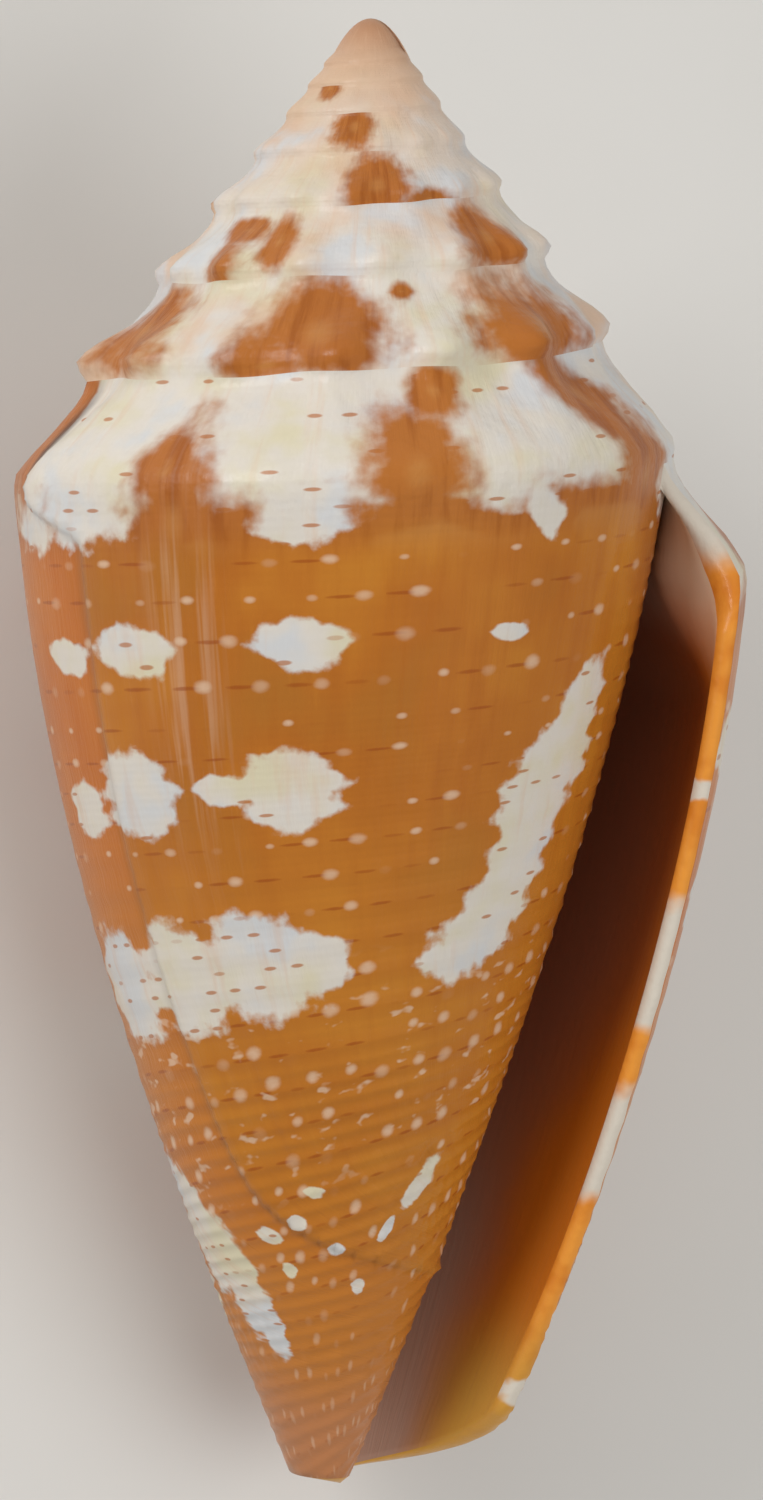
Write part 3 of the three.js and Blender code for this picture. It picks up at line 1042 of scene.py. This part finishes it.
class Tree:
    """The node tree of one material."""

    def __init__(self, name: str) -> None:
        """Makes an empty material of that name.

        Args:
            name: the name.
        """
        self.material = bpy.data.materials.new(name)
        self.material.use_nodes = True
        self.nodes = self.material.node_tree.nodes
        self.nodes.clear()

    def node(self, kind: str, settings: dict[str, object], sockets: dict[str | int, object]) -> bpy.types.Node:
        """Adds a node.

        Args:
            kind: its type.
            settings: its properties, which are set first.
            sockets: values or links for its input sockets, by name or number.

        Returns:
            The node.
        """
        made = self.nodes.new(kind)
        for name, value in settings.items():
            setattr(made, name, value)
        for name, value in sockets.items():
            if isinstance(value, Value):
                self.material.node_tree.links.new(value.socket, made.inputs[name])
            else:
                made.inputs[name].default_value = value
        return made

    def value(
        self, kind: str, settings: dict[str, object], sockets: dict[str | int, object], out: str | int
    ) -> Value:
        """Adds a node and returns one of its outputs."""
        return Value(self, self.node(kind, settings, sockets).outputs[out])

    def math(self, operation: str, *values: Value | float) -> Value:
        """One Math node on up to three values."""
        return self.value("ShaderNodeMath", {"operation": operation}, dict(enumerate(values)), 0)

    def attribute(self, name: str) -> Value:
        """A number that the mesh carries."""
        return self.value("ShaderNodeAttribute", {"attribute_name": name}, {}, "Fac")

    def place(self) -> Value:
        """The place in the frame, in metres."""
        return self.value("ShaderNodeTexCoord", {}, {}, "Object")

    def vector(self, x: Value | float, y: Value | float, z: Value | float = 0.0) -> Value:
        """A vector of three values."""
        return self.value("ShaderNodeCombineXYZ", {}, {0: x, 1: y, 2: z}, 0)

    def noise(self, at: Value, scale: float, detail: float = 3.0, roughness: float = 0.55) -> Value:
        """Noise between 0 and 1."""
        sockets = {"Vector": at, "Scale": scale, "Detail": detail, "Roughness": roughness}
        return self.value("ShaderNodeTexNoise", {"noise_dimensions": "3D"}, sockets, 0)

    def dice(self, at: Value) -> Value:
        """A random number between 0 and 1 for each different place."""
        return self.value("ShaderNodeTexWhiteNoise", {"noise_dimensions": "3D"}, {"Vector": at}, 0)

    def blend(self, first: Value | Colour, second: Value | Colour, share: Value | float) -> Value:
        """A colour between two others."""
        sockets = {0: share, 6: first, 7: second}
        return self.value("ShaderNodeMix", {"data_type": "RGBA"}, sockets, 2)

    def surface(
        self, base: Value, roughness: Value, height: Value, relief: float, fixed: dict[str, float]
    ) -> None:
        """Adds the shader.

        Args:
            base: its colour.
            roughness: its roughness.
            height: fine relief between 0 and 1.
            relief: how high 1 is, in metres.
            fixed: values of its other sockets.
        """
        bump = self.value("ShaderNodeBump", {}, {"Strength": 1.0, "Distance": relief, "Height": height}, 0)
        sockets = {"Base Color": base, "Roughness": roughness, "Normal": bump, **fixed}
        shader = self.value("ShaderNodeBsdfPrincipled", {}, sockets, 0)
        self.node("ShaderNodeOutputMaterial", {}, {"Surface": shader})


GLAZE = {"IOR": 1.45, "Specular IOR Level": 0.3, "Coat Weight": 0.16, "Coat Roughness": 0.08, "Coat IOR": 1.4}


@dataclass(frozen=True)
class OutsideFinish:
    """Glossy ochre with white patches, rows of dots and dashes, and a creamy spire with rust patches."""

    name: str = "outside"
    ochre: Colour = colour("B86C22")
    deep: Colour = colour("AC5F1C")
    gold: Colour = colour("C67F2A")
    young: Colour = colour("C86A1C")
    olive: Colour = colour("A8702A")
    low: Colour = colour("C4803C")
    tip: Colour = colour("BE8058")
    rust: Colour = colour("B0682F")
    dark_rust: Colour = colour("8F4716")
    pale_rust_and_highlight: Colour = colour("C48A4E")
    brown: Colour = colour("98430F")
    speck: Colour = colour("B4692A")
    # dark brown of the painted shadow and scar line at the old lip's ledge
    shadow: Colour = colour("4A2208")
    cream: Colour = colour("DDD5CA")
    pink: Colour = colour("D9B496")
    dot: Colour = colour("E2C4A8")
    yellow: Colour = colour("D9CFA8")
    blue: Colour = colour("CFD2D6")
    dots_per_turn: float = 33.0

    def build(self) -> bpy.types.Material:
        """Makes the material.

        Returns:
            The material.
        """
        tree = Tree(self.name)
        at, grown, row = tree.place(), tree.attribute("grown"), tree.attribute("row")
        marking = tree.attribute("marking")
        strand = tree.noise(tree.vector(grown * 90.0, row * 0.22), 1.0, 4.0)
        cloud = tree.noise(at, 130.0, 3.0)
        white = self.white_mask(tree, at, grown, row, marking)
        coat = self.ochre_coat(tree, grown, row, strand, cloud)
        cream = self.cream_coat(tree, at, strand, row)
        dots, dashes = self.rows(tree, tree.attribute("turn"), row)
        below = row.rise(0.2, 0.9)
        coat = tree.blend(coat, self.brown, dashes * below * 0.6)
        flecks = tree.noise(tree.vector(tree.attribute("turn") * 42.0, row * 2.0), 1.0, 2.0).rise(0.6, 0.69)
        dots = dots.most(flecks * row.rise(12.0, 14.5) * row.fall(17.5, 19.5) * 0.9)
        coat = tree.blend(coat, self.dot, dots * below * 0.72)
        cream = tree.blend(cream, self.speck, self.specks(tree, grown, row) * 0.75)
        base = tree.blend(coat, cream, white)
        ledge = self.ledge_shade_line(tree, row)
        # painted shadow at the foot of the old lip's ledge, partly the scar's own brown
        base = tree.blend(base, self.shadow, ledge)
        fine = tree.noise(tree.vector(grown * 420.0, row * 0.8), 1.0, 3.0, 0.6)
        thread = (row * (2.0 * math.pi * 4.0)).cosine() * 0.5 + 0.5
        cord = (row * (2.0 * math.pi * 2.0)).cosine() * row.rise(13.5, 17.0)
        wrinkle = tree.noise(at, 650.0, 3.0) * row.fall(-1.0, 0.5)
        height = fine * 0.32 + thread * 0.05 + cord * 0.3 + tree.noise(at, 1500.0, 2.0) * 0.2 + wrinkle * 2.2
        roughness = 0.24 + strand * 0.12 + white * 0.06 + (1.0 - below) * 0.08
        tree.surface(base, roughness, height, 0.00007, GLAZE)
        return tree.material

    def white_mask(self, tree: Tree, at: Value, grown: Value, row: Value, marking: Value) -> Value:
        """1 where the outside is white: the marking's sign, with noise that frays the outline.

        Args:
            tree: the material's nodes.
            at: the place in the frame.
            grown: when it grew.
            row: the number of its row.
            marking: the field of the markings.

        Returns:
            The mask.
        """
        fray = (tree.noise(at, 800.0, 4.0, 0.6) - 0.5) * 0.75
        comb = (tree.noise(tree.vector(grown * 120.0, row * 2.0), 1.0, 1.0) - 0.5) * 0.4
        spire = row.fall(-1.0, 0.5)
        lobes = (tree.noise(at, 480.0, 3.0) - 0.5) * spire * 1.1
        return ((marking + fray + comb + lobes) / (1.0 + spire * 2.2)).rise(-0.11, 0.14)

    def ochre_coat(self, tree: Tree, grown: Value, row: Value, strand: Value, cloud: Value) -> Value:
        """The coloured ground: clouds of ochre, gold and olive, streaks along the growth, pale pink streaks on
        the left that are partly a painted highlight, a paler low end.

        Args:
            tree: the material's nodes.
            grown: when it grew.
            row: the number of its row.
            strand: noise along the growth lines.
            cloud: noise in clouds.

        Returns:
            The colour.
        """
        base = tree.blend(self.ochre, self.gold, cloud.rise(0.42, 0.68))
        base = tree.blend(base, self.olive, cloud.fall(0.3, 0.5) * 0.45)
        base = tree.blend(base, self.deep, strand.rise(0.46, 0.72) * 0.35)
        base = tree.blend(base, self.gold, strand.fall(0.28, 0.45) * 0.3)
        base = tree.blend(base, self.young, tree.attribute("ledge").rise(0.0, 0.01) * 0.55)
        band = (row * (2.0 * math.pi)).cosine() * 0.5 + 0.5
        base = tree.blend(base, self.gold, row.rise(7.0, 12.0) * 0.45)
        # pale pink streaks along the growth lines on the left: partly their own colour, partly a painted
        # highlight
        lines = tree.noise(tree.vector(grown * 210.0, row * 0.15), 1.0, 2.0).rise(0.46, 0.7)
        pale_streaks_and_highlight = abs(grown + 0.706).fall(0.004, 0.03) * row.fall(5.0, 12.0)
        base = tree.blend(base, self.pink, lines * pale_streaks_and_highlight * 0.38)
        base = tree.blend(base, self.deep, band * row.rise(9.0, 14.0) * 0.22)
        depth = tree.attribute("depth") + (cloud - 0.5) * 4.0
        base = tree.blend(base, self.low, depth.rise(43.0, 49.0) * 0.5)
        base = tree.blend(base, self.tip, depth.rise(48.5, 53.5) * 0.8)
        spire = tree.blend(self.rust, self.dark_rust, strand.rise(0.45, 0.62) * 0.7)
        marking = tree.attribute("marking")
        # paler middles of the rust patches on the spire: partly their own colour, partly a painted highlight on
        # the knobs
        spire = tree.blend(spire, self.pale_rust_and_highlight, marking.fall(-0.98, -0.62) * 0.6)
        return tree.blend(base, spire, row.fall(-0.4, 1.2) * 0.75)

    def cream_coat(self, tree: Tree, at: Value, strand: Value, row: Value) -> Value:
        """The white ground: cream with yellow and bluish clouds, pinker on the spire and tan on the tip.

        Args:
            tree: the material's nodes.
            at: the place in the frame.
            strand: noise along the growth lines.
            row: not used.

        Returns:
            The colour.
        """
        first, second = tree.noise(at, 260.0, 3.0), tree.noise(at, 180.0, 4.0)
        base = tree.blend(self.cream, self.yellow, first.rise(0.48, 0.68) * 0.7)
        spire, depth = tree.attribute("turn").fall(-1.1, -1.0), tree.attribute("depth")
        base = tree.blend(base, self.pink, second.rise(0.4, 0.62) * spire * 0.8)
        base = tree.blend(base, self.pink, depth.fall(2.0, 9.0) * spire * 0.5)
        base = tree.blend(base, self.rust, (depth + (second - 0.5) * 2.0).fall(0.3, 2.6) * spire * 0.6)
        base = tree.blend(base, self.blue, first.fall(0.36, 0.5) * 0.75)
        return tree.blend(base, self.pink, strand.rise(0.5, 0.72) * 0.35)

    def rows(self, tree: Tree, turn: Value, row: Value) -> tuple[Value, Value]:
        """Pale dots and brown dashes in turn along each row, each with its own size, place and strength.

        Args:
            tree: the material's nodes.
            turn: the turn.
            row: the number of its row.

        Returns:
            The dots' mask and the dashes' mask.
        """
        index = row.nearest()
        across = row - index
        along = turn * self.dots_per_turn + tree.dice(tree.vector(index, 3.0)) * 9.0
        cell = along.floor()
        share = along - cell
        first = tree.dice(tree.vector(cell, index, 1.0))
        second = tree.dice(tree.vector(cell, index, 7.0))
        waver = tree.noise(tree.vector(along * 4.0, row * 6.0), 1.0, 2.0) - 0.5
        loose = row.rise(10.0, 14.0)
        size = 0.5 + first * 0.6 + loose * 0.35
        dot_along = (share - 0.15 - first * 0.3) / (size * 0.16)
        dot_across = (across + (second - 0.5) * (loose * 0.45 + 0.14)) / (size * 0.15)
        dot = dot_along * dot_along + dot_across * dot_across + waver * 0.8
        dash_along = (share - 0.72) / (0.16 + first * 0.14)
        dash_across = (across + (first - 0.5) * 0.06) / 0.05
        dash = dash_along * dash_along + dash_across * dash_across + waver * 1.4
        dots = dot.fall(-0.2, 1.6) * second.rise(0.2, 0.8)
        low = tree.attribute("depth").fall(45.0, 49.0)
        return dots * (low * 0.45 + 0.55), dash.fall(0.1, 1.5) * first.rise(0.15, 0.65) * (low * 0.7 + 0.3)

    def specks(self, tree: Tree, grown: Value, row: Value) -> Value:
        """Small brown specks on white, thinly strewn along the rows and along finer rows on the ramps.

        Args:
            tree: the material's nodes.
            grown: when it grew.
            row: the number of its row.

        Returns:
            The mask.
        """
        fine_row = row * 2.0
        index = fine_row.nearest()
        along = grown * (self.dots_per_turn * 1.6) + tree.dice(tree.vector(index, 5.0)) * 7.0
        cell = along.floor()
        chance = tree.dice(tree.vector(cell, index, 2.0))
        x = (along - cell - 0.5) / 0.24
        y = (fine_row - index) / 0.12
        rare = chance - row.fall(-2.0, -0.2) * 0.06 - tree.attribute("turn").fall(-1.1, -1.0) * 0.3
        return (x * x + y * y).fall(0.4, 1.3) * rare.rise(0.68, 0.76)

    def ledge_shade_line(self, tree: Tree, row: Value) -> Value:
        """Painted shadow, with some of the scar's own brown, at the foot of the old lip's ledge, strong at the
        shoulder and faint further down.

        Args:
            tree: the material's nodes.
            row: the number of its row.

        Returns:
            How strong the line is.
        """
        line = abs(tree.attribute("ledge") - 0.003).fall(0.0, 0.009)
        near = row.fall(-1.8, -0.4) * row.rise(-4.5, -2.5)
        return line * (0.14 + near * 0.7)


@dataclass(frozen=True)
class EdgeFinish:
    """The lip and the lower rim: pale orange, with white stretches and a gold painted glow towards the lower
    end.
    """

    name: str = "lip_edge"
    orange: Colour = colour("F09C3C")
    deep: Colour = colour("DA7C22")
    white: Colour = colour("DDD3C4")
    gold: Colour = colour("C9963F")
    white_stretches: tuple[tuple[float, float], ...] = (
        (15.5, 4.2), (28.2, 0.35), (34.8, 2.2), (41.6, 2.2), (51.2, 0.2),
    )

    def build(self) -> bpy.types.Material:
        """Makes the material.

        Returns:
            The material.
        """
        tree = Tree(self.name)
        at, depth = tree.place(), tree.attribute("depth")
        cloud = tree.noise(at, 420.0, 3.0)
        base = tree.blend(self.orange, self.deep, cloud.rise(0.45, 0.65) * 0.7)
        # gold towards the lower end: a painted glow of light through the thin lip
        base = tree.blend(base, self.gold, depth.rise(47.0, 52.0) * 0.8)
        white = white_stretches(depth, self.white_stretches, cloud)
        base = tree.blend(base, self.white, white)
        height = tree.noise(at, 2500.0, 3.0)
        tree.surface(base, 0.3 + cloud * 0.15, height, 0.00005, GLAZE)
        return tree.material


def white_stretches(depth: Value, stretches: tuple[tuple[float, float], ...], cloud: Value) -> Value:
    """1 within any of the stretches of depth, 0 outside them.

    Args:
        depth: the depth, in millimetres.
        stretches: each one's middle and half its length.
        cloud: noise that makes the ends uneven.

    Returns:
        The mask.
    """
    total = None
    for middle, half in stretches:
        one = (abs(depth - middle) + (cloud - 0.5) * 2.4).fall(half * 0.75, half * 1.1 + 0.2)
        total = one if total is None else total.most(one)
    return total


@dataclass(frozen=True)
class MouthFinish:
    """The inside: cream at the top, orange by the lip, very dark brown within that is partly painted shade of
    the hollow, greyish mauve low down that is partly a painted reflection, and a gold painted glow by the lower
    lip.
    """

    name: str = "mouth"
    cream: Colour = colour("F6E2CA")
    orange: Colour = colour("E08426")
    brown: Colour = colour("C87840")
    dark: Colour = colour("B87656")
    mauve: Colour = colour("AC8C7C")
    gold: Colour = colour("CFA24A")
    white: Colour = colour("E4DACB")

    def build(self) -> bpy.types.Material:
        """Makes the material.

        Returns:
            The material.
        """
        tree = Tree(self.name)
        at, turn, depth = tree.place(), tree.attribute("turn"), tree.attribute("depth")
        cloud = tree.noise(at, 300.0, 3.0)
        strand = tree.noise(tree.vector(turn * 160.0, depth * 0.12), 1.0, 3.0)
        behind = 0.0 - turn + (cloud - 0.5) * 0.02
        inward = behind - depth.rise(34.0, 44.0) * 0.07
        # orange by the lip to dark brown further in: partly the inside's own colour, partly painted shade of the
        # deep hollow
        base = tree.blend(self.orange, self.brown, inward.rise(0.02, 0.07))
        base = tree.blend(base, self.dark, inward.rise(0.05, 0.12) * depth.fall(38.0, 50.0))
        # greyish mauve low down: partly its own colour, partly a painted reflection
        base = tree.blend(base, self.mauve, inward.rise(0.04, 0.11) * depth.rise(38.0, 47.0) * 0.85)
        # gold by the lower lip: a painted glow of light through the thin lip
        base = tree.blend(base, self.gold, depth.rise(47.0, 52.0) * inward.fall(0.02, 0.1) * 0.8)
        base = tree.blend(base, self.dark, strand.rise(0.5, 0.75) * 0.1)
        callus = depth + behind * 14.0 + (cloud - 0.5) * 1.5
        base = tree.blend(base, self.cream, callus.fall(20.0, 25.0))
        spots = white_stretches(depth, ((34.8, 2.0), (41.8, 2.4)), cloud)
        base = tree.blend(base, self.white, spots * behind.fall(0.004, 0.028))
        height = tree.noise(tree.vector(turn * 200.0, depth * 0.3), 1.0, 2.0)
        tree.surface(base, 0.26 + cloud * 0.14, height, 0.00002, GLAZE)
        return tree.material


class Side(Enum):
    """The studio's soft lamps, by where they stand: across, up and towards the camera, then power and size."""

    KEY = ((-0.75, 0.6, 0.9), 0.5, 0.16)
    FILL = ((0.9, -0.35, 0.8), 0.44, 0.3)
    TOP = ((0.2, 1.0, 0.4), 0.1, 0.18)


@dataclass
class Studio:
    """A pale floor, soft lamps and the camera.

    Attributes:
        tilt: how far the camera stands towards the tip from square to the axis, in degrees.
        lean: how far the axis leans in the frame, in degrees.
        middle: the coil place that the camera looks at, in millimetres.
        frame_height: what the camera sees there from top to bottom, in millimetres.
    """

    pose: Pose
    tilt: float = 5.0
    lean: float = 1.22
    middle: tuple[float, float, float] = (0.97, -27.22, 0.0)
    frame_height: float = 56.1
    lens: float = 180.0
    sensor: float = 36.0
    lamp_distance: float = 0.3
    floor_half: float = 3.0
    sky_strength: float = 0.34

    def axes(self) -> tuple[Vector, Vector, Vector]:
        """The camera's right, up and backward directions in the frame.

        Returns:
            The three directions.
        """
        tilt, lean = math.radians(self.tilt), math.radians(self.lean)
        right, up = Vector((1.0, 0.0, 0.0)), Vector((0.0, math.cos(tilt), -math.sin(tilt)))
        back = Vector((0.0, math.sin(tilt), math.cos(tilt)))
        across = right * math.cos(lean) + up * math.sin(lean)
        along = up * math.cos(lean) - right * math.sin(lean)
        return tuple(self.pose.direction(tuple(axis)) for axis in (across, along, back))

    def target(self) -> Vector:
        """The middle in the frame's metres."""
        return Vector(self.pose.to_frame(np.array([self.middle]))[0])

    def build_camera(self) -> None:
        """Stands the camera back by the frame height times lens over sensor."""
        right, up, back = self.axes()
        data = bpy.data.cameras.new("camera")
        data.lens, data.sensor_width = self.lens, self.sensor
        distance = self.frame_height * MM * self.lens / self.sensor
        data.clip_start, data.clip_end = 0.01, 20.0
        camera = bpy.data.objects.new("camera", data)
        turn = Matrix((right, up, back)).transposed().to_4x4()
        camera.matrix_world = Matrix.Translation(self.target() + back * distance) @ turn
        bpy.context.scene.collection.objects.link(camera)
        bpy.context.scene.camera = camera
        above = math.degrees(math.asin(back.z))
        log.info("camera: %.0f mm away, %.1f degrees above the floor", distance * 1000, above)

    def build_lamps(self) -> None:
        """Stands each lamp at its side, facing the middle."""
        right, up, back = self.axes()
        for side in Side:
            (across, upward, towards), power, size = side.value
            data = bpy.data.lights.new(side.name.lower(), "AREA")
            data.shape, data.size, data.energy = "DISK", size, power
            away = (right * across + up * upward + back * towards).normalized()
            lamp = bpy.data.objects.new(side.name.lower(), data)
            lamp.visible_glossy = side is Side.KEY
            place = self.target() + away * self.lamp_distance
            lamp.matrix_world = Matrix.Translation(place) @ away.to_track_quat("Z", "Y").to_matrix().to_4x4()
            bpy.context.scene.collection.objects.link(lamp)

    def build_floor(self, level: float) -> bpy.types.Object:
        """A wide square with a faint grain, at the lowest point of the shell.

        Args:
            level: its height.

        Returns:
            The floor.
        """
        half = self.floor_half
        corners = [(-half, -half, level), (half, -half, level), (half, half, level), (-half, half, level)]
        mesh = bpy.data.meshes.new("floor")
        mesh.from_pydata(corners, [], [[0, 1, 2, 3]])
        tree = Tree("floor")
        grain = tree.noise(tree.place(), 60.0, 3.0)
        base = tree.blend(colour("E2E0DC"), colour("DCDAD5"), grain)
        tree.surface(base, 0.7 + grain * 0.1, grain, 0.00001, {})
        mesh.materials.append(tree.material)
        floor = bpy.data.objects.new("floor", mesh)
        bpy.context.scene.collection.objects.link(floor)
        return floor

    def build_sky(self) -> None:
        """An even pale light from all around."""
        world = bpy.data.worlds.new("studio")
        world.use_nodes = True
        background = world.node_tree.nodes["Background"]
        background.inputs["Color"].default_value = colour("F2F1EE")
        background.inputs["Strength"].default_value = self.sky_strength
        bpy.context.scene.world = world
        bpy.context.scene.view_settings.view_transform = "Standard"


def main() -> None:
    """Builds the shell and its studio."""
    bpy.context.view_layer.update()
    coil = Coil()
    relief = Relief(coil)
    shell = ConeShell(coil, relief, Markings(coil, relief))
    finishes = [OutsideFinish().build(), EdgeFinish().build(), MouthFinish().build()]
    piece = shell.build(finishes)
    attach(piece, "root")
    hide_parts("shell")
    low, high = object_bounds()
    studio = Studio(Pose(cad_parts["shell"]))
    studio.build_floor(low.z)
    studio.build_lamps()
    studio.build_sky()
    studio.build_camera()


if __name__ == "__main__":
    main()
